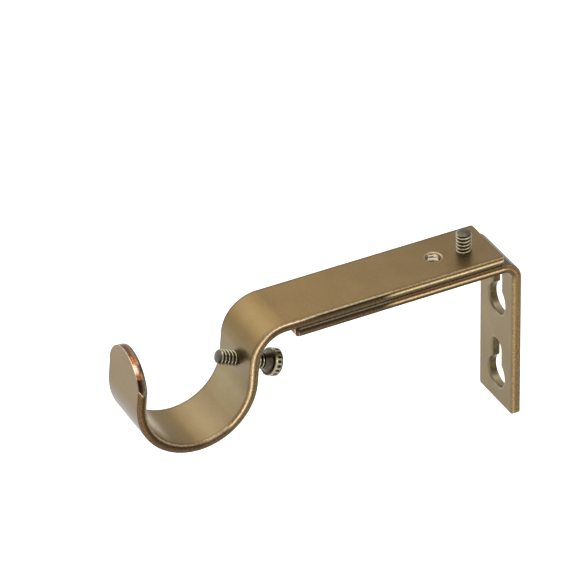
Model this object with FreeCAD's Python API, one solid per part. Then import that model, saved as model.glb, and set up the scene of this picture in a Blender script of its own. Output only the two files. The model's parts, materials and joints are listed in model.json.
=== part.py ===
import FreeCAD, Part
import math
import os

# A curtain pole bracket in four pieces. A bent strip fixed to the wall carries a hooked
# strip that slides along it. One thumb screw locks the slide, and a second one, through
# the back of the hook, holds the pole.
# X runs out from the wall, Z up and Y across the strips. The origin is on the back face
# of the wall plate, midway between its two keyholes.

# Strip stock
strip_width = 20.0
strip_thickness = 3.0
edge_chamfer = 0.4

# Wall bracket: plate against the wall, and a leg that carries the arm
keyhole_spacing = 26.8
keyhole_to_bottom = 10.0
keyhole_entry_radius = 4.9
keyhole_slot_width = 5.6
keyhole_slot_rise = 9.4
bracket_height = 55.6
bracket_bend_radius = 3.2
leg_end_gap = 3.3
leg_corner_radius = 0.9
plate_corner_radius = 0.9

# Arm and hook. The radii are those of the inside of each bend.
arm_end_to_wall = 5.8
arm_corner_radius = 0.9
shoulder_start = 78.1
shoulder_radius = 8.9
shoulder_angle = 84.2
back_run = 6.7
hook_radius = 16.4
tongue_lean_angle = 6.2
tongue_run = 13.4
tongue_tip_aside = 1.9
tongue_tight_oversize = 0.1
tongue_wide_oversize = 3.0

# Screw holes in the arm. The lock hole, and the slot under it, lie a little to one side.
lock_hole_to_end = 8.9
lock_hole_aside = 0.95
spare_hole_spacing = 9.8
countersink = 0.3
clamp_hole_along_back = 3.95
clamp_tilt_angle = 23.8

# Slide
slot_end_margin = 8.1
slot_slack = 0.15

# Thumb screws
screw_radius = 2.35
screw_tip_chamfer = 0.35
clamp_screw_length = 17.6
clamp_screw_reach = 7.6
lock_screw_standout = 6.4
neck_radius = 2.7
neck_length = 2.1
neck_flare = 0.4
dish_depth = 0.25
rim_radius = 4.25
rim_width = 2.8
rim_chamfer = 0.25
dent_count = 18
dent_depth = 0.36
dent_cutter_radius = 1.0
dent_cutter_flank = 0.45
dent_cutter_half_width = 0.5
dent_from_front = 1.45

# Clearances
face_clearance = 0.05
thread_clearance = 0.05

# Heights, places and radii that follow from the sizes above
plate_bottom = -keyhole_spacing / 2 - keyhole_to_bottom
leg_top = plate_bottom + bracket_height
leg_underside = leg_top - strip_thickness
arm_underside = leg_top + face_clearance
arm_top = arm_underside + strip_thickness
half_strip = strip_thickness / 2
half_width = strip_width / 2
hole_radius = screw_radius + thread_clearance
lock_hole_x = arm_end_to_wall + lock_hole_to_end
spare_hole_x = lock_hole_x + spare_hole_spacing
neck_wide_radius = neck_radius + neck_flare
slot_radius = neck_wide_radius + slot_slack
leg_reach = shoulder_start - leg_end_gap
slide_travel = leg_reach - slot_end_margin - lock_hole_x
tongue_tight_radius = half_width - tongue_tip_aside + tongue_tight_oversize
tongue_wide_radius = half_width + tongue_wide_oversize

# Length of a cutter that passes right through the strip
through = 3 * strip_thickness

# Edges are picked by where they lie, to within this
same_place = 1e-6

right_angle = 90.0

os.makedirs("parts", exist_ok=True)


def direction(degrees):
    """Unit vector in the XZ plane, turned up from +X."""
    angle = math.radians(degrees)
    return FreeCAD.Vector(math.cos(angle), 0, math.sin(angle))


def left_of(degrees):
    """Unit vector in the XZ plane, a quarter turn up from a heading."""
    return direction(degrees + right_angle)


def bent_path(start, heading, steps):
    """Stations along the middle of a bent strip.

    A step is ("run", length) or ("bend", inside radius, turn), where a positive turn is
    towards the left of the heading. Each station is (point, heading, step before it,
    middle of that step)."""
    stations = [(start, heading, None, None)]
    point = start
    for step in steps:
        if step[0] == "run":
            middle = point + direction(heading) * (step[1] / 2)
            point = point + direction(heading) * step[1]
            stations.append((point, heading, step, (middle, heading)))
        else:
            side = math.copysign(1.0, step[2])
            radius = step[1] + half_strip
            centre = point + left_of(heading) * (side * radius)
            halfway = heading + step[2] / 2
            heading = heading + step[2]
            middle = centre - left_of(halfway) * (side * radius)
            point = centre - left_of(heading) * (side * radius)
            stations.append((point, heading, step, (middle, halfway)))
    return stations


def side_edges(stations, offset):
    """Edges of one face of the strip, at an offset to the left of its middle."""
    edges = []
    for before, after in zip(stations, stations[1:]):
        first = before[0] + left_of(before[1]) * offset
        last = after[0] + left_of(after[1]) * offset
        if after[2][0] == "run":
            edges.append(Part.LineSegment(first, last).toShape())
        else:
            middle = after[3][0] + left_of(after[3][1]) * offset
            edges.append(Part.Arc(first, middle, last).toShape())
    return edges


def strip_solid(stations):
    """The bent strip with square edges, as wide as the stock."""
    left = side_edges(stations, half_strip)
    right = side_edges(stations, -half_strip)
    closing = []
    for station in (stations[0], stations[-1]):
        low = station[0] - left_of(station[1]) * half_strip
        high = station[0] + left_of(station[1]) * half_strip
        closing.append(Part.LineSegment(low, high).toShape())
    wire = Part.Wire(Part.__sortEdges__(left + right + closing))
    face = Part.Face(wire)
    face.translate(FreeCAD.Vector(0, -half_width, 0))
    return face.extrude(FreeCAD.Vector(0, strip_width, 0))


def round_corners(strip, station, radius):
    """Round the two plan corners of the strip's end at a station."""
    corners = []
    for edge in strip.Edges:
        middle = edge.CenterOfMass
        across = abs(abs(middle.y) - half_width) < same_place
        there = (FreeCAD.Vector(middle.x, 0, middle.z) - station[0]).Length < same_place
        if across and there:
            corners.append(edge)
    return strip.makeFillet(radius, corners)


def break_edges(strip, square_end=None):
    """Chamfer the edges of both broad faces, apart from those at a square end."""
    chosen = []
    for edge in strip.Edges:
        middle = edge.CenterOfMass
        thin = abs(edge.Length - strip_thickness) < same_place
        at_end = False
        if square_end:
            offset = FreeCAD.Vector(middle.x, 0, middle.z) - square_end[0]
            at_end = offset.Length < half_strip + same_place
        if not thin and not at_end:
            chosen.append(edge)
    return strip.makeChamfer(edge_chamfer, chosen)


def frame_at(point, heading):
    """Placement with its own X along a heading, Y across the strip and Z out of it."""
    across = FreeCAD.Vector(0, 1, 0)
    turn = FreeCAD.Rotation(direction(heading), across, left_of(heading), "ZXY")
    return FreeCAD.Placement(point, turn)


def screw_drill(point, axis):
    """Cutter for the hole that a thumb screw runs in, about a point in the strip."""
    return Part.makeCylinder(hole_radius, through, point - axis * (through / 2), axis)


def countersunk_drill(x, y):
    """Screw drill straight down through the flat arm, with a countersink at each mouth."""
    centre = FreeCAD.Vector(x, y, arm_underside + half_strip)
    up = FreeCAD.Vector(0, 0, 1)
    drill = screw_drill(centre, up)
    for side in (-1, 1):
        root = centre + up * (side * (half_strip - countersink))
        cone = Part.makeCone(hole_radius, hole_radius + 2 * countersink, 2 * countersink,
                             root, up * side)
        drill = drill.fuse(cone)
    return drill


def keyhole(centre_z):
    """Round entry with a narrower slot that rises from it, through the wall plate."""
    out = FreeCAD.Vector(1, 0, 0)
    start = FreeCAD.Vector(half_strip - through / 2, 0, centre_z)
    entry = Part.makeCylinder(keyhole_entry_radius, through, start, out)
    top = start + FreeCAD.Vector(0, 0, keyhole_slot_rise)
    end = Part.makeCylinder(keyhole_slot_width / 2, through, top, out)
    corner = start - FreeCAD.Vector(0, keyhole_slot_width / 2, 0)
    slot = Part.makeBox(through, keyhole_slot_width, keyhole_slot_rise, corner)
    return entry.fuse([end, slot])


def slide_slot():
    """Slot along the leg for the neck of the lock screw, from one limit to the other."""
    floor = leg_underside + half_strip - through / 2
    base = FreeCAD.Vector(lock_hole_x, lock_hole_aside, floor)
    up = FreeCAD.Vector(0, 0, 1)
    far = base + FreeCAD.Vector(slide_travel, 0, 0)
    first = Part.makeCylinder(slot_radius, through, base, up)
    last = Part.makeCylinder(slot_radius, through, far, up)
    corner = base - FreeCAD.Vector(0, slot_radius, 0)
    between = Part.makeBox(slide_travel, 2 * slot_radius, through, corner)
    return first.fuse([last, between])


def tongue_trim(station):
    """What is cut from the tongue to leave its rounded end.

    The end is two arcs that meet at its tip, a little to one side of the strip's middle.
    The tight arc runs into the side that the tip is closer to, and the wide one meets the
    other side at a corner."""
    floor = -through / 2

    def place(along, across):
        return FreeCAD.Vector(along, across, floor)

    def arc_to_side(radius, side):
        """Arc from the tip to a side of the strip, and a line straight on past that side."""
        centre = tongue_run - radius
        turn = math.asin((half_width + side * tongue_tip_aside) / radius)
        middle = place(centre + radius * math.cos(turn / 2),
                       side * radius * math.sin(turn / 2) - tongue_tip_aside)
        end = place(centre + radius * math.cos(turn), side * half_width)
        past = place(end.x, side * strip_width)
        return [Part.Arc(tip, middle, end).toShape(),
                Part.LineSegment(end, past).toShape(),
                Part.LineSegment(past, place(-half_width, past.y)).toShape()]

    tip = place(tongue_run, -tongue_tip_aside)
    edges = arc_to_side(tongue_tight_radius, -1) + arc_to_side(tongue_wide_radius, 1)
    root = [place(-half_width, side * strip_width) for side in (-1, 1)]
    edges.append(Part.LineSegment(root[0], root[1]).toShape())
    kept = Part.Face(Part.Wire(Part.__sortEdges__(edges)))
    kept = kept.extrude(FreeCAD.Vector(0, 0, through))
    corner = place(0, -strip_width)
    blank = Part.makeBox(tongue_run + half_width, 2 * strip_width, through, corner)
    trim = blank.cut(kept)
    trim.Placement = frame_at(station[0], station[1])
    return trim


def wall_bracket():
    """Plate with two keyholes, bent at its top into the slotted leg."""
    bend_middle = bracket_bend_radius + half_strip
    start = FreeCAD.Vector(half_strip, 0, plate_bottom)
    rise = leg_top - half_strip - bend_middle - plate_bottom
    run = leg_reach - half_strip - bend_middle
    steps = [("run", rise), ("bend", bracket_bend_radius, -right_angle), ("run", run)]
    stations = bent_path(start, right_angle, steps)
    strip = strip_solid(stations)
    strip = round_corners(strip, stations[0], plate_corner_radius)
    strip = round_corners(strip, stations[-1], leg_corner_radius)
    strip = break_edges(strip)
    holes = [keyhole(-keyhole_spacing / 2), keyhole(keyhole_spacing / 2), slide_slot()]
    return strip.cut(holes)


def arm_stations():
    """Stations along the hooked arm, from its wall end to the tip of its tongue."""
    start = FreeCAD.Vector(arm_end_to_wall, 0, arm_underside + half_strip)
    hook_turn = shoulder_angle + right_angle + tongue_lean_angle
    steps = [("run", shoulder_start - arm_end_to_wall),
             ("bend", shoulder_radius, -shoulder_angle),
             ("run", back_run),
             ("bend", hook_radius, hook_turn),
             ("run", tongue_run)]
    return bent_path(start, 0.0, steps)


def clamp_point(stations):
    """Where the axis of the clamp screw crosses the middle of the hook's back."""
    return stations[2][0] + direction(stations[2][1]) * clamp_hole_along_back


def hook_arm():
    """Flat arm, shoulder and hook in one strip, with three tapped holes."""
    stations = arm_stations()
    strip = strip_solid(stations)
    strip = round_corners(strip, stations[0], arm_corner_radius)
    strip = break_edges(strip, stations[-1])
    return strip.cut([tongue_trim(stations[4]),
                      countersunk_drill(lock_hole_x, lock_hole_aside),
                      countersunk_drill(spare_hole_x, 0),
                      screw_drill(clamp_point(stations), direction(clamp_tilt_angle))])


def knurl_dent(height):
    """Cutter for one dent in the rim: a wheel with a V edge, which leaves a pointed oval."""
    across = FreeCAD.Vector(0, 1, 0)
    centre = FreeCAD.Vector(rim_radius + dent_cutter_radius - dent_depth, 0, height)
    flank_radius = dent_cutter_radius - dent_cutter_flank
    halves = [Part.makeCone(dent_cutter_radius, flank_radius, dent_cutter_half_width,
                            centre, across * side) for side in (-1, 1)]
    return halves[0].fuse(halves[1])


def thumb_screw(length):
    """Screw about Z with its tip at the origin and its head below, turned then dented.

    length is from the tip to the front face of the head, which clamps."""
    back = length + rim_width
    neck_at = length - neck_length
    points = [(0, 0),
              (screw_radius - screw_tip_chamfer, 0),
              (screw_radius, -screw_tip_chamfer),
              (screw_radius, -neck_at),
              (neck_radius, -neck_at),
              (neck_wide_radius, -length + dish_depth),
              (neck_wide_radius, -length - dish_depth),
              (rim_radius - rim_chamfer, -length),
              (rim_radius, -length - rim_chamfer),
              (rim_radius, -back + rim_chamfer),
              (rim_radius - rim_chamfer, -back),
              (0, -back)]
    outline = [FreeCAD.Vector(r, 0, z) for r, z in points]
    outline.append(outline[0])
    section = Part.Face(Part.makePolygon(outline))
    screw = section.revolve(FreeCAD.Vector(0, 0, 0), FreeCAD.Vector(0, 0, 1), 360)
    dents = []
    for index in range(dent_count):
        dent = knurl_dent(-length - dent_from_front)
        dent.rotate(FreeCAD.Vector(0, 0, 0), FreeCAD.Vector(0, 0, 1), index * 360.0 / dent_count)
        dents.append(dent)
    return screw.cut(dents)


def rod_clamp_screw():
    """Thumb screw through the back of the hook, tip in the hook and raised by its tilt."""
    screw = thumb_screw(clamp_screw_length)
    axis = direction(clamp_tilt_angle)
    tip = clamp_point(arm_stations()) + axis * clamp_screw_reach
    turn = FreeCAD.Rotation(FreeCAD.Vector(0, 0, 1), axis)
    screw.Placement = FreeCAD.Placement(tip, turn)
    return screw


def arm_lock_screw():
    """Thumb screw from below, with its neck in the slot and its head against the leg."""
    tip_z = arm_top + lock_screw_standout
    length = tip_z - leg_underside + face_clearance
    screw = thumb_screw(length)
    tip = FreeCAD.Vector(lock_hole_x, lock_hole_aside, tip_z)
    screw.Placement = FreeCAD.Placement(tip, FreeCAD.Rotation())
    return screw


pieces = {"wall_bracket": wall_bracket(),
          "hook_arm": hook_arm(),
          "rod_clamp_screw": rod_clamp_screw(),
          "arm_lock_screw": arm_lock_screw()}

for name, shape in pieces.items():
    solid = shape.Solids[0]
    print(name, "solids", len(shape.Solids), "valid", shape.isValid(),
          "volume", round(solid.Volume, 1), "box", solid.BoundBox)
    solid.exportStep("parts/" + name + ".step")
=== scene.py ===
import json
import math

import bpy
from mathutils import Matrix, Vector


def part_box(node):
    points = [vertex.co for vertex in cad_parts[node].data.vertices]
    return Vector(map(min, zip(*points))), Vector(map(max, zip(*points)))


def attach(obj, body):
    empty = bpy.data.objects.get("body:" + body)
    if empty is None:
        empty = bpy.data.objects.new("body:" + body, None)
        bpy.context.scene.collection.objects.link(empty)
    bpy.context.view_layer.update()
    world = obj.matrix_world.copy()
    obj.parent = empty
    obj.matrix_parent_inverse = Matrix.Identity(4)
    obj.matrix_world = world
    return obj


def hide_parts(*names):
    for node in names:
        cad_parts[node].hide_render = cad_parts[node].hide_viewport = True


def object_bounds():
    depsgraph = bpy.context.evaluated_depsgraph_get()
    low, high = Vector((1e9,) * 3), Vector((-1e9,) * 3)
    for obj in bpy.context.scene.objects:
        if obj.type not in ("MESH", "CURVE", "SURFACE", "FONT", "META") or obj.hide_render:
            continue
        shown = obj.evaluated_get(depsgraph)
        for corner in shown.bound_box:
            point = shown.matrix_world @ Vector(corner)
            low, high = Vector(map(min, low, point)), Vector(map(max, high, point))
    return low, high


# The looks of a curtain pole bracket: two bent strips in satin gold paint, and two
# knurled thumb screws in darkened brass. Metres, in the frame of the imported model: X runs
# out from the wall, Z up and Y across the strips.

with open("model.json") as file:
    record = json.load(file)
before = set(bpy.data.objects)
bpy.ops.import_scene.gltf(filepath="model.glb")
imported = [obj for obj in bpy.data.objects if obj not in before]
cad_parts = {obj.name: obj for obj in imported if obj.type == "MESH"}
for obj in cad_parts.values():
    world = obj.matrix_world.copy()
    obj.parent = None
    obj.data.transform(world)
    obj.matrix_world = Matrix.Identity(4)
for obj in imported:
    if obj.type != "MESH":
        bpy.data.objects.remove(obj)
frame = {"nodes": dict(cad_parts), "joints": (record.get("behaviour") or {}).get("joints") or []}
cad_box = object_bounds()

MM = 0.001
right_angle = 90.0

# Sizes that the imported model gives
wall_low, wall_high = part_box("wall_bracket")
arm_low, arm_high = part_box("hook_arm")
lock_low, lock_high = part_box("arm_lock_screw")
half_width = wall_high.y
joints = {joint["child"]: joint for joint in frame["joints"]}
clamp_axis = Vector(joints["rod_clamp"]["axis"]).normalized()
slide_travel = joints["arm"]["range_m"][1]

# Strips. An inner face is the one on the left of the strip's path.
strip_thickness = 3.0 * MM
half_strip = strip_thickness / 2
edge_radius = 0.45 * MM
edge_steps = 6
side_steps = 6
station_turn = 2.0
weld_reach = 0.001 * MM

bracket_bend_radius = 3.2 * MM
leg_corner_radius = 0.9 * MM
plate_corner_radius = 0.9 * MM
arm_corner_radius = 0.9 * MM
corner_steps = 10

shoulder_start = 78.1 * MM
shoulder_radius = 8.9 * MM
shoulder_angle = 84.2
back_run = 6.7 * MM
hook_radius = 16.4 * MM
tongue_lean_angle = 6.2
tongue_run = 13.4 * MM
tongue_tip_aside = 1.9 * MM
tongue_wide_radius = 13.0 * MM
tongue_tight_radius = 8.2 * MM
tongue_side_parts = 9
cut_inner_radius = 0.8 * MM
cut_outer_radius = 0.15 * MM
bare_from_outer = 5.5 * MM
bare_from_middle = 3.6 * MM
bare_fade = 0.4 * MM
tongue_steps = 40

# Holes
keyhole_spacing = 26.8 * MM
keyhole_entry_radius = 4.9 * MM
keyhole_half_width = 2.8 * MM
keyhole_slot_rise = 9.4 * MM
keyhole_front_rounding = 0.8 * MM
keyhole_back_rounding = 0.15 * MM
slot_rounding = 0.3 * MM
slot_radius = 3.25 * MM
hole_radius = 2.4 * MM
hole_rounding = 0.45 * MM
lock_hole_radius = 2.36 * MM
lock_rounding = 0.1 * MM
tap_depth = 0.05 * MM
tap_half = 1.0 * MM
lock_hole_aside = 0.95 * MM
spare_hole_spacing = 9.8 * MM
clamp_hole_along_back = 3.95 * MM
clamp_bore_half = 4.0 * MM
hole_steps = 64
mouth_lift = 0.001 * MM

# Corners sharper than this, in degrees, are shaded as corners
strip_sharp_above = 38.0
screw_sharp_above = 50.0

# Thumb screws
screw_radius = 2.35 * MM
screw_tip_chamfer = 0.45 * MM
thread_pitch = 1.2 * MM
thread_depth = 0.55 * MM
crest_part = 0.2
root_part = 0.24
thread_sides = 96
rings_per_pitch = 12
tip_slope = 0.9
tip_dome = 0.05 * MM
tip_flat_inset = 0.08 * MM
clamp_screw_length = 17.6 * MM
clamp_screw_reach = 7.6 * MM
clamp_screw_turn = 80.0
lock_screw_turn = -80.0
face_clearance = 0.05 * MM
neck_radius = 2.5 * MM
neck_length = 2.1 * MM
neck_wide_radius = 3.1 * MM
bell_curve = 2.2
bell_rings = 10
dish_depth = 0.25 * MM
rim_radius = 4.25 * MM
rim_width = 2.8 * MM
rim_rounding = 0.3 * MM
corner_rings = 5
band_rings = 30
dent_count = 18
dent_depth = 0.36 * MM
dent_length = 1.4 * MM
dent_width = 0.95 * MM
dent_from_front = 1.5 * MM
sides_per_dent = 16
head_sides = dent_count * sides_per_dent

# How worn the screws are, from 0 where they are dark to 1 where they are bright
tip_worn = 0.35
tip_edge_worn = 0.4
bell_worn = 0.36
rim_worn = 0.84
rim_back_worn = 0.35
rim_worn_part = 0.88
worn_lost_in_dents = 2.5

# Rings of the head as (radius, height over its front face or its back, how worn)
front_rings = ((neck_wide_radius + 0.12 * MM, 0.3 * dish_depth, 0.3),
               (neck_wide_radius + 0.35 * MM, -0.2 * dish_depth, 0.3),
               (rim_radius - rim_rounding - 0.12 * MM, -0.02 * MM, 0.4))
back_rings = ((rim_radius - 0.75 * MM, 0.0, 0.35),
              (rim_radius - 1.05 * MM, 0.12 * MM, 0.15),
              (0.6 * MM, 0.14 * MM, 0.25))

# Places that follow
lock_x = (lock_low.x + lock_high.x) / 2
spare_x = lock_x + spare_hole_spacing
leg_middle_z = wall_high.z - half_strip
arm_middle_z = arm_high.z - half_strip
plate_middle_x = wall_low.x + half_strip


def direction(degrees):
    """Unit vector in the XZ plane, turned up from +X."""
    angle = math.radians(degrees)
    return Vector((math.cos(angle), 0, math.sin(angle)))


def left_of(degrees):
    """Unit vector in the XZ plane, a quarter turn up from a heading."""
    return direction(degrees + right_angle)


def quarter_turn(steps):
    """Angles of equal steps from 0 to a quarter turn."""
    return [math.radians(right_angle * k / steps) for k in range(steps + 1)]


def full_turn(steps):
    """Angles of equal steps round a turn, from 0."""
    return [2 * math.pi * k / steps for k in range(steps)]


def polar(radius, angle):
    """Point of a plane at a distance from its middle, at an angle."""
    return radius * math.cos(angle), radius * math.sin(angle)


def new_object(name, data):
    """An object of the data, in the scene."""
    thing = bpy.data.objects.new(name, data)
    bpy.context.scene.collection.objects.link(thing)
    return thing


# Bent strips

def bent_path(start, heading, steps):
    """Legs of the middle line of a bent strip, as dictionaries in order.

    A step is ("run", length) or ("bend", inside radius, turn), where a positive turn is
    towards the left of the heading."""
    legs = []
    point, at = start, 0.0
    for step in steps:
        leg = {"at": at, "point": point, "heading": heading}
        if step[0] == "run":
            leg.update(length=step[1], turn=0.0)
            point = point + direction(heading) * step[1]
        else:
            radius = step[1] + half_strip
            side = math.copysign(1.0, step[2])
            centre = point + left_of(heading) * (side * radius)
            leg.update(length=radius * math.radians(abs(step[2])), turn=step[2],
                       centre=centre, side=side, radius=radius)
            heading += step[2]
            point = centre - left_of(heading) * (side * radius)
        legs.append(leg)
        at += leg["length"]
    return legs


def along(legs, distance):
    """Point on the middle line and the heading there, at a distance from its start."""
    leg = next((item for item in legs if distance < item["at"] + item["length"]), legs[-1])
    past = distance - leg["at"]
    if not leg["turn"]:
        return leg["point"] + direction(leg["heading"]) * past, leg["heading"]
    heading = leg["heading"] + leg["turn"] * past / leg["length"]
    return leg["centre"] - left_of(heading) * (leg["side"] * leg["radius"]), heading


def bend_stations(legs):
    """Distances where the strip's faces are divided: the ends of legs, and round bends."""
    stations = []
    for leg in legs:
        parts = max(1, round(abs(leg["turn"]) / station_turn))
        stations += [leg["at"] + leg["length"] * k / parts for k in range(parts)]
    return stations[1:]


def side_point(distance):
    """Outline point on the strip's straight side."""
    return (distance, half_width, 0.0, 1.0, edge_radius, edge_radius)


def corner_arc(distance, radius, last):
    """Half outline round one plan corner, at the first or the last end of a blank."""
    points = []
    for angle in quarter_turn(corner_steps):
        inward, sideways = math.cos(angle), math.sin(angle)
        sign = 1.0 if last else -1.0
        points.append((distance - sign * radius * (1 - inward),
                       half_width - radius * (1 - sideways),
                       sign * inward, sideways, edge_radius, edge_radius))
    return points[::-1] if last else points


def tongue_outline(start, radius, aside):
    """Half outline of the blanked tongue: a straight side, then an arc to the tip.

    The tip lies aside from the strip's middle, towards this half where that is positive."""
    centre = start + tongue_run - radius
    first_angle = math.asin((half_width - aside) / radius)
    straight = centre + radius * math.cos(first_angle) - start
    points = [side_point(start + straight * k / tongue_side_parts)
              for k in range(1, tongue_side_parts)]
    for k in range(tongue_steps + 1):
        angle = first_angle * (1 - k / tongue_steps)
        forward, sideways = polar(radius, angle)
        points.append((centre + forward, aside + sideways,
                       *polar(1.0, angle), cut_inner_radius, cut_outer_radius))
    return points


def edge_section(inner_radius, outer_radius):
    """Inset and height of the strip's rounded side, from its inner face to its outer."""
    arcs = []
    for face, radius in ((1, inner_radius), (-1, outer_radius)):
        arcs.append([(radius * (1 - math.sin(angle)),
                      face * (half_strip - radius * (1 - math.cos(angle))))
                     for angle in quarter_turn(edge_steps)])
    high, low = arcs[0][-1][1], arcs[1][-1][1]
    flat = [(0.0, high + (low - high) * k / side_steps) for k in range(1, side_steps)]
    return arcs[0] + flat + arcs[1][::-1]


def strip_mesh(name, legs, near, far, bareness):
    """A bent strip with rounded edges.

    near and far list (distance, offset across, outward normal along and across, inner and
    outer edge radius) from the first end to the last, for the +Y and the -Y side. The
    corners carry "edge", which runs over a side from 0 on the outer face to 1 on the inner
    one, and "bare", which is 1 on a side's bare metal and comes from the distance and the
    edge value there."""
    count = len(near)
    stack = len(edge_section(edge_radius, edge_radius))
    vertices, edges, distances = [], [], []
    for side, outline in ((1, near), (-1, far)):
        for level in range(stack):
            for distance, across, out_along, out_across, inner, outer in outline:
                inset, height = edge_section(inner, outer)[level]
                point, heading = along(legs, distance - out_along * inset)
                place = point + left_of(heading) * height
                place.y = side * (across - out_across * inset)
                vertices.append(place)
                edges.append((height / half_strip + 1) / 2)
                distances.append(distance)

    def corner(side_index, level, index):
        return (side_index * stack + level) * count + index

    faces, on_side = [], []
    for index in range(count - 1):
        for level in range(stack - 1):
            faces.append((corner(0, level, index), corner(0, level, index + 1),
                          corner(0, level + 1, index + 1), corner(0, level + 1, index)))
            faces.append((corner(1, level, index), corner(1, level + 1, index),
                          corner(1, level + 1, index + 1), corner(1, level, index + 1)))
        on_side += [True] * (2 * (stack - 1))
        for level, turn in ((0, False), (stack - 1, True)):
            face = (corner(0, level, index), corner(1, level, index),
                    corner(1, level, index + 1), corner(0, level, index + 1))
            faces.append(face[::-1] if turn else face)
            on_side.append(False)
    for end in (0, count - 1):
        for level in range(stack - 1):
            face = (corner(0, level, end), corner(0, level + 1, end),
                    corner(1, level + 1, end), corner(1, level, end))
            faces.append(face if end == 0 else face[::-1])
            on_side.append(True)
    mesh = bpy.data.meshes.new(name)
    mesh.from_pydata(vertices, [], faces)
    corners = [(v, is_side) for face, is_side in zip(faces, on_side) for v in face]
    layer = mesh.attributes.new("edge", "FLOAT", "CORNER")
    layer.data.foreach_set("value", [edges[v] for v, _ in corners])
    layer = mesh.attributes.new("bare", "FLOAT", "CORNER")
    layer.data.foreach_set("value", [bareness(distances[v], edges[v]) if is_side else 0.0
                                     for v, is_side in corners])
    return welded(name, mesh)


def welded(name, mesh):
    """An object of the mesh, with points that meet joined and empty faces gone."""
    thing = new_object(name, mesh)
    weld = thing.modifiers.new("weld", "WELD")
    weld.merge_threshold = weld_reach
    return applied(thing)


def applied(thing):
    """The same object, with its modifiers made part of its mesh."""
    bpy.context.view_layer.update()
    graph = bpy.context.evaluated_depsgraph_get()
    mesh = bpy.data.meshes.new_from_object(thing.evaluated_get(graph), depsgraph=graph)
    thing.modifiers.clear()
    thing.data = mesh
    return thing


# Holes

def circle_outline(radius):
    """Outline of a round hole, wider by the given amount, as a function of that amount."""
    def outline(wider):
        return [polar(radius + wider, angle) for angle in full_turn(hole_steps)]
    return outline


def keyhole_outline(wider):
    """Outline of the keyhole about its entry, with the slot towards the second axis."""
    big, small = keyhole_entry_radius + wider, keyhole_half_width + wider
    meets = math.asin(small / big)
    steps = hole_steps // 2
    points = []
    for k in range(steps + 1):
        angle = math.pi / 2 + meets + (2 * math.pi - 2 * meets) * k / steps
        points.append(polar(big, angle))
    for k in range(steps + 1):
        x, y = polar(small, math.pi * k / steps)
        points.append((x, keyhole_slot_rise + y))
    return points


def slot_outline(wider):
    """Outline of the slide slot from the centre of its first end, along the first axis."""
    small = slot_radius + wider
    steps = hole_steps // 2
    points = []
    for centre, start in ((slide_travel, -math.pi / 2), (0.0, math.pi / 2)):
        for k in range(steps + 1):
            x, y = polar(small, start + math.pi * k / steps)
            points.append((centre + x, y))
    return points


def flare_levels(front, back):
    """Heights and widths of a cutter that leaves both mouths of its hole rounded.

    Its curves end a little past the strip's faces, so that none of them lies in a face."""
    mouths = []
    for rounding in (front, back):
        mouth = [(half_strip - rounding * (1 - math.sin(angle)),
                  rounding * (1 - math.cos(angle)))
                 for angle in quarter_turn(edge_steps)[:-1]]
        mouths.append(mouth + [(half_strip + mouth_lift, rounding),
                               (half_strip + rounding, rounding)])
    return [(-height, wider) for height, wider in reversed(mouths[1])] + mouths[0]


def hole_cutter(name, outline, placement, front, back, wall, mouth):
    """Closed cutter for a hole through the strip, stood on its placement's XY plane.

    It leaves one material on the hole's wall and the other on its rounded mouths."""
    rings = [[(x, y, height) for x, y in outline(wider)]
             for height, wider in flare_levels(front, back)]
    cutter = closed_stack(name, rings, placement, wall)
    cutter.data.materials.append(mouth)
    wall_level = edge_steps + 1
    count = len(rings[0])
    for face in cutter.data.polygons[1:-1]:
        face.material_index = int((face.index - 1) // count != wall_level)
    return cutter


def closed_stack(name, rings, placement, material):
    """A closed object from rings of equally many points, listed from its bottom up."""
    count = len(rings[0])
    vertices = [point for ring in rings for point in ring]
    faces = [tuple(reversed(range(count)))]
    for level in range(len(rings) - 1):
        for k in range(count):
            after = (k + 1) % count
            faces.append((level * count + k, level * count + after,
                          (level + 1) * count + after, (level + 1) * count + k))
    top = (len(rings) - 1) * count
    faces.append(tuple(range(top, top + count)))
    mesh = bpy.data.meshes.new(name)
    mesh.from_pydata(vertices, [], faces)
    mesh.transform(placement)
    mesh.materials.append(material)
    return new_object(name, mesh)


def cut(thing, cutters):
    """Takes the cutters out of an object, one after the other, and removes them."""
    for cutter in cutters:
        modifier = thing.modifiers.new("cut", "BOOLEAN")
        modifier.operation = "DIFFERENCE"
        modifier.solver = "EXACT"
        modifier.material_mode = "TRANSFER"
        modifier.object = cutter
        applied(thing)
        bpy.data.objects.remove(cutter)
    return thing


def shade(thing):
    """Smooth shading that keeps flat faces flat and breaks at real corners."""
    thing.data.shade_smooth()
    thing.data.set_sharp_from_angle(angle=math.radians(strip_sharp_above))
    normals = thing.modifiers.new("normals", "WEIGHTED_NORMAL")
    normals.mode = "FACE_AREA"
    normals.keep_sharp = True
    return applied(thing)


# Threads and screws

def thread_radius(height, angle, radius, depth):
    """Radius of a right-hand thread: rounded crests, straight flanks and a narrow root."""
    turn = (height / thread_pitch - angle / (2 * math.pi)) % 1.0
    from_crest = abs(turn - 0.5) * 2
    fall = min(max((from_crest - crest_part) / (1 - crest_part - root_part), 0.0), 1.0)
    return radius - depth * fall * fall * (3 - 2 * fall)


def tap_cutter(name, placement, material):
    """Threaded plug that cuts shallow grooves into the middle of a hole's wall."""
    count = int(2 * tap_half / thread_pitch * rings_per_pitch)
    rings = []
    for k in range(count + 1):
        z = -tap_half + 2 * tap_half * k / count
        ring = []
        for angle in full_turn(thread_sides):
            radius = thread_radius(z, angle, hole_radius + tap_depth, tap_depth)
            ring.append((*polar(radius, angle), z))
        rings.append(ring)
    return closed_stack(name, rings, placement, material)


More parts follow.
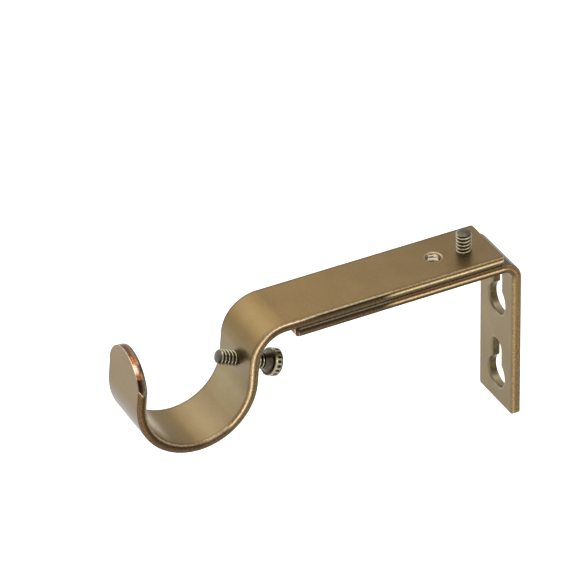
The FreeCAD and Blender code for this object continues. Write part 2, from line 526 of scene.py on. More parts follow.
def head_profile(length):
    """Rings of the head from its neck to its back, as (radius, height, worn, dented).

    Heights are from the tip, and length is down to the front face of the rim. The last
    value says whether dents reach the ring."""
    face = -length
    back = face - rim_width
    bell_height = neck_length - dish_depth
    rings = []
    for k in range(bell_rings + 1):
        part = k / bell_rings
        rings.append((neck_radius + (neck_wide_radius - neck_radius) * part ** bell_curve,
                      face + neck_length - bell_height * part, bell_worn, False))
    rings += [(radius, face + height, worn, False) for radius, height, worn in front_rings]
    for angle in quarter_turn(corner_rings):
        rings.append((rim_radius - rim_rounding * (1 - math.sin(angle)),
                      face - rim_rounding * (1 - math.cos(angle)), rim_worn, False))
    band_top, band_bottom = face - rim_rounding, back + rim_rounding
    for k in range(1, band_rings):
        part = k / band_rings
        rings.append((rim_radius, band_top + (band_bottom - band_top) * part,
                      rim_worn if part < rim_worn_part else rim_back_worn, True))
    for angle in quarter_turn(corner_rings):
        rings.append((rim_radius - rim_rounding * (1 - math.cos(angle)),
                      back + rim_rounding * (1 - math.sin(angle)), rim_back_worn, False))
    return rings + [(radius, back + height, worn, False)
                    for radius, height, worn in back_rings]


def dent_cut(angle, height, middle_height):
    """How deep the nearest dent is at a point of the rim, and 0 outside the dents."""
    pitch = 2 * math.pi / dent_count
    aside = (angle + pitch / 2) % pitch - pitch / 2
    across = aside * rim_radius / (dent_width / 2)
    lengthwise = (height - middle_height) / (dent_length / 2)
    inside = 1 - across ** 2 - lengthwise ** 2
    return dent_depth * math.sqrt(inside) if inside > 0 else 0.0


def shank_rings(shank):
    """Rings of the threaded shank from its tip, as lists of (point, worn)."""
    count = int(shank / thread_pitch * rings_per_pitch)
    rings = []
    for k in range(-1, count + 1):
        down = max(k, 0) * shank / count
        widest = screw_radius - screw_tip_chamfer + down * tip_slope
        ring = []
        for angle in full_turn(thread_sides):
            radius = thread_radius(-down, angle, screw_radius, thread_depth)
            radius = min(radius, widest) - (tip_flat_inset if k < 0 else 0.0)
            crest = (radius - screw_radius + thread_depth) / thread_depth
            ring.append(((*polar(radius, angle), -down - (tip_dome if k == 0 else 0.0)),
                         tip_edge_worn if k < 1 else max(crest, 0.0)))
        rings.append(ring)
    return rings


def head_rings(length):
    """Rings of the head from its neck, as lists of (point, worn)."""
    rings = []
    for radius, height, worn, dented in head_profile(length):
        ring = []
        for angle in full_turn(head_sides):
            depth = dent_cut(angle, height, -length - dent_from_front) if dented else 0.0
            ring.append(((*polar(radius - depth, angle), height),
                         worn * (1 - min(depth / dent_depth * worn_lost_in_dents, 1.0))))
        rings.append(ring)
    return rings


def thumb_screw(name, length, placement):
    """A threaded shank and a knurled head in one skin, whose points say how worn they are."""
    points, faces = [((0.0, 0.0, 0.0), tip_worn)], []
    previous = previous_sides = None
    for ring in shank_rings(length - neck_length) + head_rings(length):
        first, sides = len(points), len(ring)
        points += ring
        if previous is None:
            faces += [(0, first + j, first + (j + 1) % sides) for j in range(sides)]
        else:
            share = sides // previous_sides
            for j in range(previous_sides):
                fan = [first + (j * share + k) % sides for k in range(share + 1)]
                faces.append((previous + j, *fan, previous + (j + 1) % previous_sides))
        previous, previous_sides = first, sides
    faces.append(tuple(reversed(range(previous, previous + previous_sides))))
    mesh = bpy.data.meshes.new(name)
    mesh.from_pydata([point for point, _ in points], [], faces)
    shine = mesh.attributes.new("worn", "FLOAT", "POINT")
    shine.data.foreach_set("value", [worn for _, worn in points])
    mesh.shade_smooth()
    mesh.set_sharp_from_angle(angle=math.radians(screw_sharp_above))
    thing = new_object(name, mesh)
    thing.matrix_world = placement
    return thing


# Materials

def new_material(name):
    """A new node material, with its node tree and its shader."""
    material = bpy.data.materials.new(name)
    material.use_nodes = True
    tree = material.node_tree
    return material, tree, tree.nodes["Principled BSDF"]


def add(tree, kind, **values):
    """A node of a kind, with properties set by name and inputs by 'in_' and their name."""
    node = tree.nodes.new(kind)
    for key, value in values.items():
        if key.startswith("in_"):
            node.inputs[key[3:].replace("_", " ")].default_value = value
        else:
            setattr(node, key, value)
    return node


def ramp(tree, source, stops):
    """A colour ramp over a value, with its stops as (position, colour)."""
    node = add(tree, "ShaderNodeValToRGB")
    elements = node.color_ramp.elements
    while len(elements) < len(stops):
        elements.new(0.5)
    for element, (position, colour) in zip(elements, stops):
        element.position = position
        element.color = (*colour, 1.0)
    tree.links.new(source, node.inputs["Fac"])
    return node.outputs["Color"]


def mix(tree, factor, first, second, blend="MIX"):
    """Mix of two colours, each of which is a socket or a plain colour."""
    node = add(tree, "ShaderNodeMix", data_type="RGBA", blend_type=blend)
    for socket, value in (("Factor", factor), ("A", first), ("B", second)):
        target = next(item for item in node.inputs
                      if item.name == socket and (socket == "Factor" or item.type == "RGBA"))
        if isinstance(value, bpy.types.NodeSocket):
            tree.links.new(value, target)
        elif isinstance(value, (int, float)):
            target.default_value = value
        else:
            target.default_value = (*value, 1.0)
    return next(item for item in node.outputs if item.type == "RGBA")


def tinted(tree, colour, *tints):
    """The colour, multiplied by each of the tints."""
    for tint in tints:
        colour = mix(tree, 1.0, colour, tint, blend="MULTIPLY")
    return colour


def noise(tree, scale, detail=3.0, roughness=0.5):
    """Noise over object coordinates, with features of 1 / scale metres."""
    place = add(tree, "ShaderNodeTexCoord")
    node = add(tree, "ShaderNodeTexNoise", in_Scale=scale, in_Detail=detail,
               in_Roughness=roughness)
    tree.links.new(place.outputs["Object"], node.inputs["Vector"])
    return node.outputs["Fac"]


def attribute(tree, name):
    """Value of a named attribute of the mesh."""
    return add(tree, "ShaderNodeAttribute", attribute_name=name).outputs["Fac"]


def calculated(tree, operation, *values):
    """Result of a calculation with sockets and plain numbers."""
    node = add(tree, "ShaderNodeMath", operation=operation)
    for target, value in zip(node.inputs, values):
        if isinstance(value, bpy.types.NodeSocket):
            tree.links.new(value, target)
        else:
            target.default_value = value
    return node.outputs["Value"]


def coordinate(tree, kind, axis):
    """One axis of the object coordinates, or of the normal in them."""
    place = add(tree, "ShaderNodeTexCoord")
    parts = add(tree, "ShaderNodeSeparateXYZ")
    tree.links.new(place.outputs[kind], parts.inputs["Vector"])
    return parts.outputs[axis]


def between(tree, value, start, end):
    """0 up to one value and 1 from another, with a smooth change between."""
    mask = add(tree, "ShaderNodeMapRange", interpolation_type="SMOOTHSTEP",
               in_From_Min=start, in_From_Max=end)
    tree.links.new(value, mask.inputs["Value"])
    return mask.outputs["Result"]


def past_place(tree, axis, start, end):
    """0 up to one place along an axis and 1 from another, both in millimetres."""
    return between(tree, coordinate(tree, "Object", axis), start * MM, end * MM)


def facing(tree, axis, start, end):
    """0 to 1 as a face turns along an axis, either way, by its object normal."""
    size = calculated(tree, "ABSOLUTE", coordinate(tree, "Normal", axis))
    return between(tree, size, start, end)


def shade_along(tree, axis, stops):
    """A tint over an object coordinate, with stops as (millimetres, tint)."""
    share = calculated(tree, "DIVIDE", coordinate(tree, "Object", axis), shade_reach)
    return ramp(tree, share, [(at * MM / shade_reach, tint) for at, tint in stops])


def chain(tree, source, ramps, borders):
    """Ramps over one value, each of which gives way to the next at its border."""
    colour = ramp(tree, source, ramps[0])
    for border, stops in zip(borders, ramps[1:]):
        colour = mix(tree, past_place(tree, *border), colour, ramp(tree, source, stops))
    return colour


def rough_by(tree, shader, value, low, high):
    """Roughness that runs from one amount to another with a value."""
    rough = add(tree, "ShaderNodeMapRange", in_To_Min=low, in_To_Max=high)
    tree.links.new(value, rough.inputs["Value"])
    tree.links.new(rough.outputs["Result"], shader.inputs["Roughness"])


def bumps_by(tree, shader, value, strength, distance):
    """Bumps as high as a value."""
    bump = add(tree, "ShaderNodeBump", in_Strength=strength, in_Distance=distance)
    tree.links.new(value, bump.inputs["Height"])
    tree.links.new(bump.outputs["Normal"], shader.inputs["Normal"])


def rough_and_peel(tree, shader, rough_low, rough_high, peel_strength):
    """Uneven gloss over fine orange peel."""
    rough_by(tree, shader, noise(tree, gloss_scale), rough_low, rough_high)
    bumps_by(tree, shader, noise(tree, peel_scale, detail=2.0), peel_strength, peel_height)


white, black = (1.0, 1.0, 1.0), (0.0, 0.0, 0.0)

# Noise scales, and the heights of bumps
patch_scale = 90.0
flake_scale = 1800.0
grain_scale = 1500.0
blotch_scale = 1900.0
gloss_scale = 700.0
peel_scale = 2600.0
stain_scale = 900.0
wear_scale = 1500.0
pit_scale = 4000.0
floor_scale = 3.0
peel_height = 0.02 * MM
pit_height = 0.03 * MM

# How far a face's normal has turned along an axis where a tint begins and is full
facing_out = (0.7, 0.98)
facing_up = (0.45, 0.9)

# Roughness from and to, strength of the bumps, and how metallic each material is
paint_rough = (0.31, 0.37)
paint_peel = 0.1
bore_rough_spread = 0.12
bore_peel = 0.2
strip_metallic = 0.95
brass_rough = (0.36, 0.26)
brass_pits = 0.25
brass_metallic = 0.92
floor_rough = 0.9

# How far patches of noise move the wear of the brass up and down
patch_share = 0.5
patch_middle = patch_share / 2

floor_stops = ((0.3, (0.93, 0.93, 0.93)), (0.7, (0.95, 0.95, 0.95)))

# Paint, and painted light and shade over it: a painted cooler cast where faces turn out from the
# wall, painted shade lines by the faces' edges, a painted shadow on top of the bend at the wall,
# and painted light and shade along the strips, with where they begin and end in millimetres
paint_dark = (0.208, 0.132, 0.050)
paint_light = (0.234, 0.150, 0.060)
flake_dark = (0.88, 0.88, 0.88)
across_painted_light = (0.74, 0.86, 0.92)
near_edge_painted_shade = (0.78, 0.74, 0.66)
far_edge_painted_shade = (0.66, 0.68, 0.82)
bend_painted_shadow = (0.3, 0.3, 0.3)
bend_end_x = (4, 7)
bend_start_z = (28, 30)
tongue_start_x = (120, 123)
near_line_y = (8.8, 9.4)
far_line_y = (-9.4, -8.7)
far_side_y = (-9.2, -8.0)
shade_reach = 130 * MM
# Painted light and shade along the strips, as tints over X: a lighter front on the plate, and on
# the arm painted shade and highlights, with a painted reflection streak inside the hook near 117
# mm
wall_painted_light = ((0.0, (1.10, 1.05, 1.04)), (2.6, (1.08, 1.04, 1.02)), (5.0, white))
arm_painted_light = ((6, (0.81, 0.86, 0.94)), (20, (0.85, 0.88, 0.93)), (32, (0.90, 0.93, 0.97)),
              (46, (0.94, 0.95, 0.97)), (58, (1.0, 1.02, 1.02)), (77, (1.0, 0.99, 0.95)),
              (81, (0.91, 0.92, 0.91)), (84.3, (0.83, 0.90, 0.97)),
              (87.6, (0.78, 0.78, 0.77)), (89.4, (1.05, 1.0, 1.0)),
              (90.3, (1.0, 0.97, 0.97)), (91, (1.2, 1.22, 1.25)),
              (92.1, (1.42, 1.57, 2.10)), (94, (1.0, 1.18, 1.52)),
              (96.6, (0.70, 0.80, 1.03)), (99.7, (0.75, 0.88, 1.17)),
              (103.2, (0.95, 1.10, 1.42)), (107, (1.07, 1.14, 1.3)),
              (111, (1.05, 1.10, 1.15)), (114.5, (0.92, 0.95, 1.0)),
              (117, (1.5, 1.8, 2.2)), (119.5, (1.05, 1.15, 1.3)),
              (122, (1.05, 0.96, 0.93)))
# Painted shade on the tongue's outer face, as tints over Z, darkest about 15 mm up
tongue_painted_shade = ((9.5, (0.95, 0.95, 0.97)), (13.5, (0.60, 0.62, 0.66)),
                 (16.5, (0.60, 0.62, 0.66)), (20.0, (0.91, 0.91, 0.91)),
                 (23.5, white))

# Where a side shows its colours, and where the painted highlight beside bare metal is
near_stops = ((0.0, black), (0.02, white), (0.98, white), (1.0, black))
far_stops = ((0.0, black), (0.001, white), (0.999, white), (1.0, black))
border_highlight_stops = ((0.05, black), (0.30, white), (0.55, white), (0.80, black))
outer_half_stops = ((0.42, white), (0.56, black))
border_painted_highlight = (0.62, 0.45, 0.28)
grain_stops = ((0.36, (0.66, 0.65, 0.63)), (0.64, (1.36, 1.34, 1.30)))
blotch_stops = ((0.36, (0.50, 0.44, 0.42)), (0.64, (1.35, 1.30, 1.28)))

# Colours over a rounded side, from the outer face of the strip to its inner face: darker
# paint, with painted highlights and painted reflection bands on it
plate_side = ((0.0, (0.215, 0.160, 0.090)), (0.10, (0.235, 0.165, 0.080)),
              (0.20, (0.310, 0.222, 0.105)), (0.27, (0.245, 0.172, 0.079)),
              (0.36, (0.172, 0.111, 0.044)), (0.55, (0.155, 0.098, 0.039)),
              (0.78, (0.155, 0.104, 0.054)), (0.90, (0.127, 0.090, 0.050)),
              (1.0, (0.200, 0.146, 0.088)))
bend_side = ((0.0, (0.046, 0.031, 0.012)), (0.10, (0.116, 0.082, 0.036)),
             (0.25, (0.095, 0.060, 0.026)), (0.40, (0.120, 0.072, 0.028)),
             (0.50, (0.230, 0.150, 0.070)), (0.60, (0.150, 0.092, 0.040)),
             (0.75, (0.105, 0.062, 0.027)), (0.90, (0.160, 0.107, 0.060)),
             (1.0, (0.120, 0.080, 0.040)))
leg_wall_side = ((0.0, (0.035, 0.021, 0.007)), (0.10, (0.042, 0.025, 0.009)),
                 (0.22, (0.056, 0.033, 0.010)), (0.32, (0.075, 0.046, 0.015)),
                 (0.42, (0.310, 0.225, 0.125)), (0.50, (0.680, 0.500, 0.300)),
                 (0.58, (0.300, 0.190, 0.080)), (0.67, (0.080, 0.040, 0.009)),
                 (0.80, (0.058, 0.033, 0.012)), (0.90, (0.130, 0.086, 0.046)),
                 (1.0, (0.080, 0.052, 0.022)))
leg_side = ((0.0, (0.036, 0.024, 0.010)), (0.15, (0.062, 0.037, 0.015)),
            (0.30, (0.092, 0.060, 0.028)), (0.40, (0.078, 0.052, 0.026)),
            (0.50, (0.044, 0.027, 0.011)), (0.62, (0.020, 0.012, 0.005)),
            (0.73, (0.012, 0.007, 0.003)), (0.80, (0.045, 0.034, 0.021)),
            (0.90, (0.170, 0.132, 0.086)), (1.0, (0.070, 0.048, 0.022)))
arm_wall_side = ((0.0, (0.020, 0.011, 0.003)), (0.10, (0.042, 0.026, 0.010)),
                 (0.20, (0.082, 0.056, 0.025)), (0.30, (0.066, 0.043, 0.016)),
                 (0.41, (0.240, 0.180, 0.100)), (0.50, (0.640, 0.520, 0.330)),
                 (0.59, (0.420, 0.310, 0.160)), (0.67, (0.120, 0.074, 0.026)),
                 (0.80, (0.076, 0.048, 0.016)), (0.92, (0.350, 0.255, 0.155)),
                 (0.97, (0.200, 0.140, 0.072)), (1.0, (0.110, 0.073, 0.030)))
arm_side = ((0.0, (0.016, 0.010, 0.004)), (0.10, (0.045, 0.029, 0.011)),
            (0.20, (0.102, 0.073, 0.034)), (0.30, (0.077, 0.052, 0.023)),
            (0.50, (0.050, 0.031, 0.011)), (0.62, (0.030, 0.018, 0.006)),
            (0.71, (0.007, 0.004, 0.001)), (0.79, (0.040, 0.028, 0.013)),
            (0.92, (0.480, 0.385, 0.260)), (0.97, (0.250, 0.175, 0.092)),
            (1.0, (0.130, 0.085, 0.036)))
shoulder_side = ((0.0, (0.050, 0.030, 0.013)), (0.22, (0.100, 0.062, 0.028)),
                 (0.38, (0.076, 0.047, 0.020)), (0.50, (0.058, 0.036, 0.015)),
                 (0.60, (0.060, 0.038, 0.016)), (0.70, (0.130, 0.085, 0.040)),
                 (0.79, (0.460, 0.340, 0.200)), (0.86, (0.850, 0.730, 0.540)),
                 (0.93, (0.230, 0.158, 0.080)), (1.0, (0.180, 0.110, 0.045)))
back_side = ((0.0, (0.056, 0.041, 0.021)), (0.15, (0.090, 0.060, 0.028)),
             (0.28, (0.130, 0.092, 0.047)), (0.40, (0.092, 0.058, 0.026)),
             (0.50, (0.120, 0.078, 0.035)), (0.60, (0.260, 0.172, 0.082)),
             (0.67, (0.500, 0.360, 0.205)), (0.735, (0.700, 0.560, 0.375)),
             (0.80, (0.540, 0.400, 0.235)), (0.88, (0.240, 0.162, 0.074)),
             (1.0, (0.235, 0.165, 0.078)))
low_side = ((0.0, (0.034, 0.022, 0.009)), (0.10, (0.060, 0.037, 0.018)),
            (0.22, (0.100, 0.068, 0.036)), (0.33, (0.092, 0.058, 0.028)),
            (0.45, (0.082, 0.052, 0.025)), (0.58, (0.062, 0.040, 0.019)),
            (0.68, (0.100, 0.070, 0.038)), (0.79, (0.250, 0.188, 0.115)),
            (0.90, (0.420, 0.320, 0.205)), (1.0, (0.260, 0.185, 0.100)))
hook_side = ((0.0, (0.046, 0.030, 0.016)), (0.10, (0.076, 0.047, 0.028)),
             (0.22, (0.096, 0.058, 0.032)), (0.33, (0.084, 0.050, 0.026)),
             (0.45, (0.058, 0.035, 0.016)), (0.58, (0.034, 0.019, 0.008)),
             (0.69, (0.024, 0.013, 0.005)), (0.79, (0.125, 0.092, 0.055)),
             (0.90, (0.235, 0.168, 0.092)), (1.0, (0.170, 0.112, 0.055)))
tongue_side = ((0.0, (0.063, 0.041, 0.019)), (0.10, (0.140, 0.086, 0.045)),
               (0.20, (0.105, 0.062, 0.026)), (0.31, (0.138, 0.082, 0.036)),
               (0.41, (0.108, 0.064, 0.028)), (0.52, (0.062, 0.033, 0.012)),
               (0.66, (0.040, 0.020, 0.007)), (0.78, (0.105, 0.072, 0.040)),
               (0.90, (0.290, 0.235, 0.160)), (1.0, (0.260, 0.205, 0.125)))

# On the far side: painted shade on both roundings, and the paint's colour between
far_side = ((0.0, (0.034, 0.026, 0.030)), (0.10, (0.050, 0.036, 0.028)),
            (0.20, (0.170, 0.112, 0.046)), (0.78, (0.185, 0.122, 0.050)),
            (0.88, (0.050, 0.036, 0.028)), (1.0, (0.034, 0.026, 0.030)))

wall_sides = (plate_side, bend_side, leg_wall_side, leg_side)
wall_borders = (("Z", 25, 28), ("X", 4, 7), ("X", 41, 47))
arm_sides = (arm_wall_side, arm_side, shoulder_side, back_side, low_side, hook_side,
             tongue_side)
arm_borders = (("X", 41, 47), ("X", 66, 76), ("X", 82, 86.5), ("X", 96, 99),
               ("X", 103.5, 107.5), ("X", 121, 124.5))

# Colours over the bare metal of the cut tongue, from its far side to its near one: the metal's
# grey-brown and copper, with painted light rims, a painted glint and painted shade
cut_top = ((0.0, (0.60, 0.47, 0.40)), (0.08, (0.190, 0.120, 0.080)),
           (0.26, (0.120, 0.058, 0.030)), (0.42, (0.130, 0.078, 0.045)),
           (0.56, (0.240, 0.180, 0.125)), (0.74, (0.190, 0.155, 0.120)),
           (0.90, (0.075, 0.062, 0.052)), (1.0, (0.070, 0.060, 0.052)))
cut_copper = ((0.0, (0.78, 0.58, 0.50)), (0.10, (0.200, 0.075, 0.032)),
              (0.28, (0.460, 0.175, 0.062)), (0.44, (0.230, 0.100, 0.045)),
              (0.58, (0.340, 0.210, 0.105)), (0.74, (0.230, 0.155, 0.085)),
              (0.90, (0.075, 0.056, 0.036)), (1.0, (0.085, 0.068, 0.046)))
cut_glint = ((0.0, (0.82, 0.60, 0.50)), (0.12, (0.88, 0.55, 0.40)),
             (0.26, (0.78, 0.58, 0.50)), (0.40, (0.46, 0.25, 0.16)),
             (0.52, (0.160, 0.090, 0.048)), (0.72, (0.060, 0.048, 0.034)),
             (1.0, (0.095, 0.072, 0.046)))
cut_shade = ((0.0, (0.200, 0.110, 0.060)), (0.12, (0.016, 0.008, 0.004)),
             (0.38, (0.036, 0.017, 0.008)), (0.50, (0.120, 0.070, 0.034)),
             (0.62, (0.130, 0.112, 0.078)), (0.82, (0.150, 0.132, 0.098)),
             (1.0, (0.060, 0.054, 0.044)))
tongue_cuts = (cut_top, cut_copper, cut_glint, cut_copper, cut_shade)
tongue_cut_borders = (("Y", 1.6, 2.6), ("Y", 4.2, 5.4), ("Y", 6.6, 7.5), ("Y", 7.9, 8.5))

# Colours over the bare end of the leg, from its far side to its near one: painted shade, the
# copper of the bare metal, a painted highlight, and painted shade by the near corner
end_shade = ((0.0, (0.030, 0.018, 0.010)), (1.0, (0.020, 0.012, 0.007)))
end_copper = ((0.0, (0.050, 0.028, 0.016)), (0.25, (0.120, 0.060, 0.030)),
              (0.60, (0.085, 0.038, 0.018)), (1.0, (0.020, 0.012, 0.007)))
end_painted_highlight = ((0.0, (0.400, 0.290, 0.200)), (0.30, (0.560, 0.430, 0.310)),
             (0.70, (0.440, 0.310, 0.210)), (1.0, (0.080, 0.052, 0.032)))
end_painted_shade = ((0.0, (0.170, 0.110, 0.062)), (0.40, (0.110, 0.070, 0.038)),
            (0.70, (0.040, 0.026, 0.014)), (1.0, (0.025, 0.017, 0.010)))
leg_cuts = (end_shade, end_copper, end_painted_highlight, end_painted_shade)
leg_cut_borders = (("Y", 4.8, 6.0), ("Y", 8.0, 8.5), ("Y", 9.1, 9.5))


def painted_gold(name, sides, borders, cuts, cut_borders, bend_shadow, strip_painted_light):
    """Satin metallic paint, with colours of its own and painted light on the sides and on bare
    cuts.

    sides and cuts list ramps over a side, and their borders, as (axis, start, end) in
    millimetres, say where each of them gives way to the next. The tint after them is a
    painted shadow on top of the bend at the wall, and the last one is painted light and
    shade along the strip."""
    material, tree, shader = new_material(name)
    edge, bare = attribute(tree, "edge"), attribute(tree, "bare")

    patches = ramp(tree, noise(tree, patch_scale, detail=2.0),
                   ((0.3, paint_dark), (0.7, paint_light)))
    flakes = ramp(tree, noise(tree, flake_scale, roughness=0.7),
                  ((0.35, flake_dark), (0.65, white)))
    # Painted light: a cooler, darker cast where a face turns out along X
    across = mix(tree, facing(tree, "X", *facing_out), white, across_painted_light)
    # Painted shadow of the arm's end, on top of the bend at the wall
    bend_shadow_mix = mix(tree, past_place(tree, "X", *bend_end_x), bend_shadow, white)
    bend_shadow_mix = mix(tree, past_place(tree, "Z", *bend_start_z), white, bend_shadow_mix)
    # Painted shade on the tongue's outer face
    tongue_shade_mix = mix(tree, past_place(tree, "X", *tongue_start_x), white,
                    shade_along(tree, "Z", tongue_painted_shade))
    # Painted shade: darker lines on the broad faces just short of the near and the far rounded
    # edge, the far one bluer
    near_line = mix(tree, past_place(tree, "Y", *near_line_y), white, near_edge_painted_shade)
    far_line = mix(tree, past_place(tree, "Y", *far_line_y), far_edge_painted_shade, white)
    paint = tinted(tree, patches, flakes, across, bend_shadow_mix, shade_along(tree, "X", strip_painted_light),
                   tongue_shade_mix, near_line, far_line)

    grain = ramp(tree, noise(tree, grain_scale, roughness=0.7), grain_stops)
    # Darker sides with painted highlights and painted reflection bands, and painted shade on the
    # far side
    side = tinted(tree, chain(tree, edge, sides, borders), grain)
    far = mix(tree, past_place(tree, "Y", *far_side_y), white, black)
    side = mix(tree, far, side, ramp(tree, edge, far_side))
    blotches = ramp(tree, noise(tree, blotch_scale, detail=4.0, roughness=0.75), blotch_stops)
    # Bare metal on the cut, in its colours with painted highlights and painted shade
    side = mix(tree, bare, side, tinted(tree, chain(tree, edge, cuts, cut_borders), blotches))
    # Painted highlight along the border of the bare metal, on the outer half of the side
    border_highlight = tinted(tree, ramp(tree, bare, border_highlight_stops), ramp(tree, edge, outer_half_stops))
    side = mix(tree, border_highlight, side, border_painted_highlight)

    on_side = mix(tree, far, ramp(tree, edge, near_stops), ramp(tree, edge, far_stops))
    tree.links.new(mix(tree, on_side, paint, side), shader.inputs["Base Color"])
    rough_and_peel(tree, shader, *paint_rough, paint_peel)
    shader.inputs["Metallic"].default_value = strip_metallic
    return material


def bore_metal(name, dark, light, flat_painted_light, rough):
    """Metal of a punched hole, uneven and stained, with painted light: a set colour where it
    faces up or down.
    """
    material, tree, shader = new_material(name)
    base = ramp(tree, noise(tree, stain_scale, detail=4.0), ((0.35, dark), (0.65, light)))
    # Painted light on faces turned up or down
    base = mix(tree, facing(tree, "Z", *facing_up), base, flat_painted_light)
    tree.links.new(base, shader.inputs["Base Color"])
    rough_and_peel(tree, shader, rough, rough + bore_rough_spread, bore_peel)
    shader.inputs["Metallic"].default_value = strip_metallic
    return material


def darkened_brass(name):
    """Brass with a dark brown finish that has worn off its crests and its rim."""
    material, tree, shader = new_material(name)
    patches = noise(tree, wear_scale, detail=4.0, roughness=0.6)
    spread = calculated(tree, "MULTIPLY_ADD", patches, patch_share, attribute(tree, "worn"))
    worn_away = calculated(tree, "SUBTRACT", spread, patch_middle)
    colour = ramp(tree, worn_away,
                  ((0.0, (0.026, 0.018, 0.009)), (0.30, (0.060, 0.050, 0.032)),
                   (0.55, (0.130, 0.116, 0.080)), (0.80, (0.270, 0.238, 0.158)),
                   (1.0, (0.390, 0.345, 0.235))))
    tree.links.new(colour, shader.inputs["Base Color"])
    rough_by(tree, shader, worn_away, *brass_rough)
    bumps_by(tree, shader, noise(tree, pit_scale, detail=4.0), brass_pits, pit_height)
    shader.inputs["Metallic"].default_value = brass_metallic
    return material


def floor_material():
    """Pale, nearly even studio floor."""
    material, tree, shader = new_material("studio_floor")
    base = ramp(tree, noise(tree, floor_scale), floor_stops)
    tree.links.new(base, shader.inputs["Base Color"])
    shader.inputs["Roughness"].default_value = floor_rough
    return material


wall_gold = painted_gold("satin_gold_wall", wall_sides, wall_borders,
                         leg_cuts, leg_cut_borders, bend_painted_shadow, wall_painted_light)
arm_gold = painted_gold("satin_gold_arm", arm_sides, arm_borders,
                        tongue_cuts, tongue_cut_borders, white, arm_painted_light)
bore = bore_metal("stained_bore", (0.062, 0.043, 0.018), (0.110, 0.078, 0.034),
                  (0.200, 0.165, 0.100), 0.28)
tapped = bore_metal("tapped_bore", (0.400, 0.325, 0.235), (0.660, 0.580, 0.465),
                    (0.300, 0.240, 0.160), 0.12)
rolled = bore_metal("rolled_mouth", (0.195, 0.155, 0.090), (0.220, 0.175, 0.105),
                    (0.190, 0.150, 0.090), 0.31)
# Paler colour on the spare hole's rounded mouth: a painted highlight on the countersink
spare_mouth_highlight = bore_metal("spare_mouth_highlight", (0.320, 0.250, 0.155), (0.470, 0.380, 0.255),
                        (0.320, 0.240, 0.145), 0.28)
bronze = darkened_brass("darkened_brass")


# The pieces

def wall_strip():
    """Wall plate and leg, with two keyholes and the slide slot."""
    bend_middle = bracket_bend_radius + half_strip
    rise = leg_middle_z - bend_middle - wall_low.z
    run = wall_high.x - plate_middle_x - bend_middle
    start = Vector((plate_middle_x, 0, wall_low.z))
    legs = bent_path(start, right_angle, [("run", rise),
                                          ("bend", bracket_bend_radius, -right_angle),
                                          ("run", run)])
    length = legs[-1]["at"] + run
    outline = corner_arc(0.0, plate_corner_radius, False)
    outline += [side_point(at) for at in bend_stations(legs)]
    outline += corner_arc(length, leg_corner_radius, True)

    def at_leg_end(distance, edge):
        return 1.0 if distance > length - leg_corner_radius else 0.0

    strip = strip_mesh("wall_bracket_strip", legs, outline, outline, at_leg_end)
    strip.data.materials.append(wall_gold)
    turn = Matrix(((0, 0, 1), (1, 0, 0), (0, 1, 0))).to_4x4()
    cutters = []
    for height in (-keyhole_spacing / 2, keyhole_spacing / 2):
        place = Matrix.Translation((plate_middle_x, 0, height)) @ turn
        cutters.append(hole_cutter("keyhole_cutter", keyhole_outline, place,
                                   keyhole_front_rounding, keyhole_back_rounding,
                                   bore, rolled))
    place = Matrix.Translation((lock_x, lock_hole_aside, leg_middle_z))
    cutters.append(hole_cutter("slot_cutter", slot_outline, place,
                               slot_rounding, slot_rounding, wall_gold, wall_gold))
    return shade(cut(strip, cutters))


def arm_path():
    """Legs of the hooked arm, from its wall end to the tip of its tongue."""
    hook_turn = shoulder_angle + right_angle + tongue_lean_angle
    return bent_path(Vector((arm_low.x, 0, arm_middle_z)), 0.0,
                     [("run", shoulder_start - arm_low.x),
                      ("bend", shoulder_radius, -shoulder_angle),
                      ("run", back_run),
                      ("bend", hook_radius, hook_turn),
                      ("run", tongue_run)])


def clamp_placement(reach):
    """Placement on the clamp screw's axis, at a distance into the hook from its back."""
    back = arm_path()[2]
    point = back["point"] + direction(back["heading"]) * clamp_hole_along_back
    turn = Vector((0, 0, 1)).rotation_difference(clamp_axis).to_matrix().to_4x4()
    return Matrix.Translation(point + clamp_axis * reach) @ turn


def arm_strip():
    """Flat arm, shoulder, hook and tongue, with the lock hole, spare hole and clamp hole."""
    legs = arm_path()
    tongue_at = legs[-1]["at"]
    shared = corner_arc(0.0, arm_corner_radius, False)
    shared += [side_point(at) for at in bend_stations(legs)]
    near = shared + tongue_outline(tongue_at, tongue_wide_radius, -tongue_tip_aside)
    far = shared + tongue_outline(tongue_at, tongue_tight_radius, tongue_tip_aside)

    def on_cut(distance, edge):
        start = bare_from_outer + (bare_from_middle - bare_from_outer) * min(2 * edge, 1.0)
        return min(max((distance - tongue_at - start) / bare_fade, 0.0), 1.0)

    strip = strip_mesh("hook_arm_strip", legs, near, far, on_cut)
    strip.data.materials.append(arm_gold)
    lock = hole_cutter("lock_cutter", circle_outline(lock_hole_radius),
                       Matrix.Translation((lock_x, lock_hole_aside, arm_middle_z)),
                       lock_rounding, lock_rounding, arm_gold, arm_gold)
    spare_place = Matrix.Translation((spare_x, 0, arm_middle_z))
    spare = hole_cutter("spare_cutter", circle_outline(hole_radius), spare_place,
                        hole_rounding, hole_rounding, tapped, spare_mouth_highlight)
    tap = tap_cutter("tap_cutter", spare_place, tapped)
    bore_rings = [[(x, y, z) for x, y in circle_outline(hole_radius)(0.0)]
                  for z in (-clamp_bore_half, clamp_bore_half)]
    clamp = closed_stack("clamp_cutter", bore_rings, clamp_placement(0.0), bore)
    return shade(cut(strip, [lock, spare, tap, clamp]))


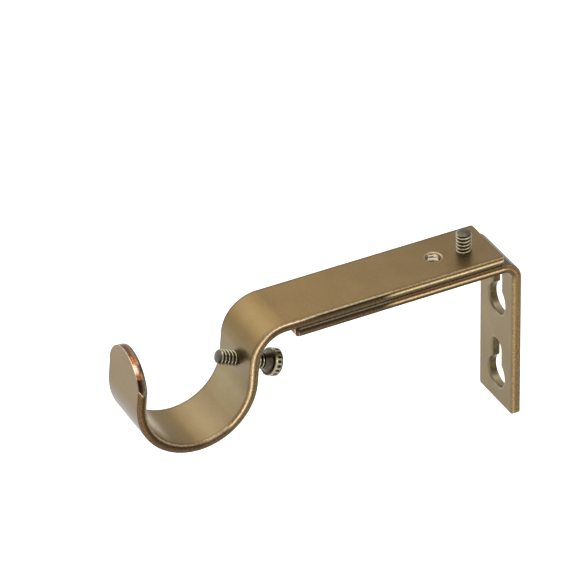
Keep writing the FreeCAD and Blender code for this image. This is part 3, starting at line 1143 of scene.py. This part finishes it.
leg_underside = wall_high.z - strip_thickness
lock_length = lock_high.z - leg_underside + face_clearance
lock_placement = (Matrix.Translation((lock_x, lock_hole_aside, lock_high.z))
                  @ Matrix.Rotation(math.radians(lock_screw_turn), 4, "Z"))
clamp_screw_placement = (clamp_placement(clamp_screw_reach)
                         @ Matrix.Rotation(math.radians(clamp_screw_turn), 4, "Z"))
pieces = {
    "wall_bracket": wall_strip(),
    "hook_arm": arm_strip(),
    "arm_lock_screw": thumb_screw("arm_lock_thumb_screw", lock_length, lock_placement),
    "rod_clamp_screw": thumb_screw("rod_clamp_thumb_screw", clamp_screw_length,
                                   clamp_screw_placement)}

roles = {"wall_bracket": ("wall", "gold_strip", wall_gold),
         "hook_arm": ("arm", "gold_strip", arm_gold),
         "arm_lock_screw": ("arm_lock", "bronze_screw", bronze),
         "rod_clamp_screw": ("rod_clamp", "bronze_screw", bronze)}
for node, (body, slot, material) in roles.items():
    piece = pieces[node]
    if material is bronze:
        piece.data.materials.append(bronze)
    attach(piece, body)
    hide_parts(node)
    frame["nodes"][node].data.materials.clear()
    frame["nodes"][node].data.materials.append(material)

# Floor, light and camera
floor_size = 6.0
floor_drop = 12.0 * MM
sky_colour = (0.98, 0.99, 1.0)
sky_strength = 0.9
floor_mesh = bpy.data.meshes.new("floor")
half_floor = floor_size / 2
floor_mesh.from_pydata([(-half_floor, -half_floor, 0), (half_floor, -half_floor, 0),
                        (half_floor, half_floor, 0), (-half_floor, half_floor, 0)],
                       [], [(0, 1, 2, 3)])
floor_mesh.materials.append(floor_material())
floor = new_object("floor", floor_mesh)
floor.location.z = wall_low.z - floor_drop

world = bpy.data.worlds.new("studio")
world.use_nodes = True
sky = world.node_tree.nodes["Background"]
sky.inputs["Color"].default_value = (*sky_colour, 1.0)
sky.inputs["Strength"].default_value = sky_strength
bpy.context.scene.world = world
bpy.context.scene.view_settings.view_transform = "Standard"


def soft_light(name, place, aim, size, power, colour):
    """A square soft box at a place, turned to face a point."""
    lamp = bpy.data.lights.new(name, "AREA")
    lamp.size = size
    lamp.energy = power
    lamp.color = colour
    thing = new_object(name, lamp)
    thing.location = place
    turn = (Vector(aim) - Vector(place)).to_track_quat("-Z", "Y")
    thing.rotation_euler = turn.to_euler()


# Name, place, size, power and colour of each light
lights = (("key", (0.55, -0.9, 0.95), 2.4, 16.0, (1.0, 0.99, 0.97)),
          ("core", (0.50, -0.8, 0.90), 1.0, 2.5, (1.0, 0.99, 0.97)),
          ("top", (0.0, 0.2, 1.3), 1.2, 9.0, white),
          ("side", (-0.9, 0.9, 0.25), 0.4, 2.0, (1.0, 0.98, 0.94)))
middle = (cad_box[0] + cad_box[1]) / 2
for name, place, size, power, colour in lights:
    soft_light(name, place, middle, size, power, colour)

camera_place = Vector((0.504907, 0.882415, 0.702839))
camera_forward = Vector((-0.36514769, -0.74394077, -0.55965998))
camera_right = Vector((-0.89075366, 0.45394175, -0.02224412))
focal_pixels = 4086.4
image_pixels = 580.0
sensor = 36.0
view_reach = 20.0
lens = bpy.data.cameras.new("camera")
lens.sensor_width = sensor
lens.lens = sensor * focal_pixels / image_pixels
lens.clip_end = view_reach
camera = new_object("camera", lens)
camera_up = camera_right.cross(camera_forward)
axes = Matrix((camera_right, camera_up, -camera_forward)).transposed()
camera.matrix_world = Matrix.Translation(camera_place) @ axes.to_4x4()
bpy.context.scene.camera = camera
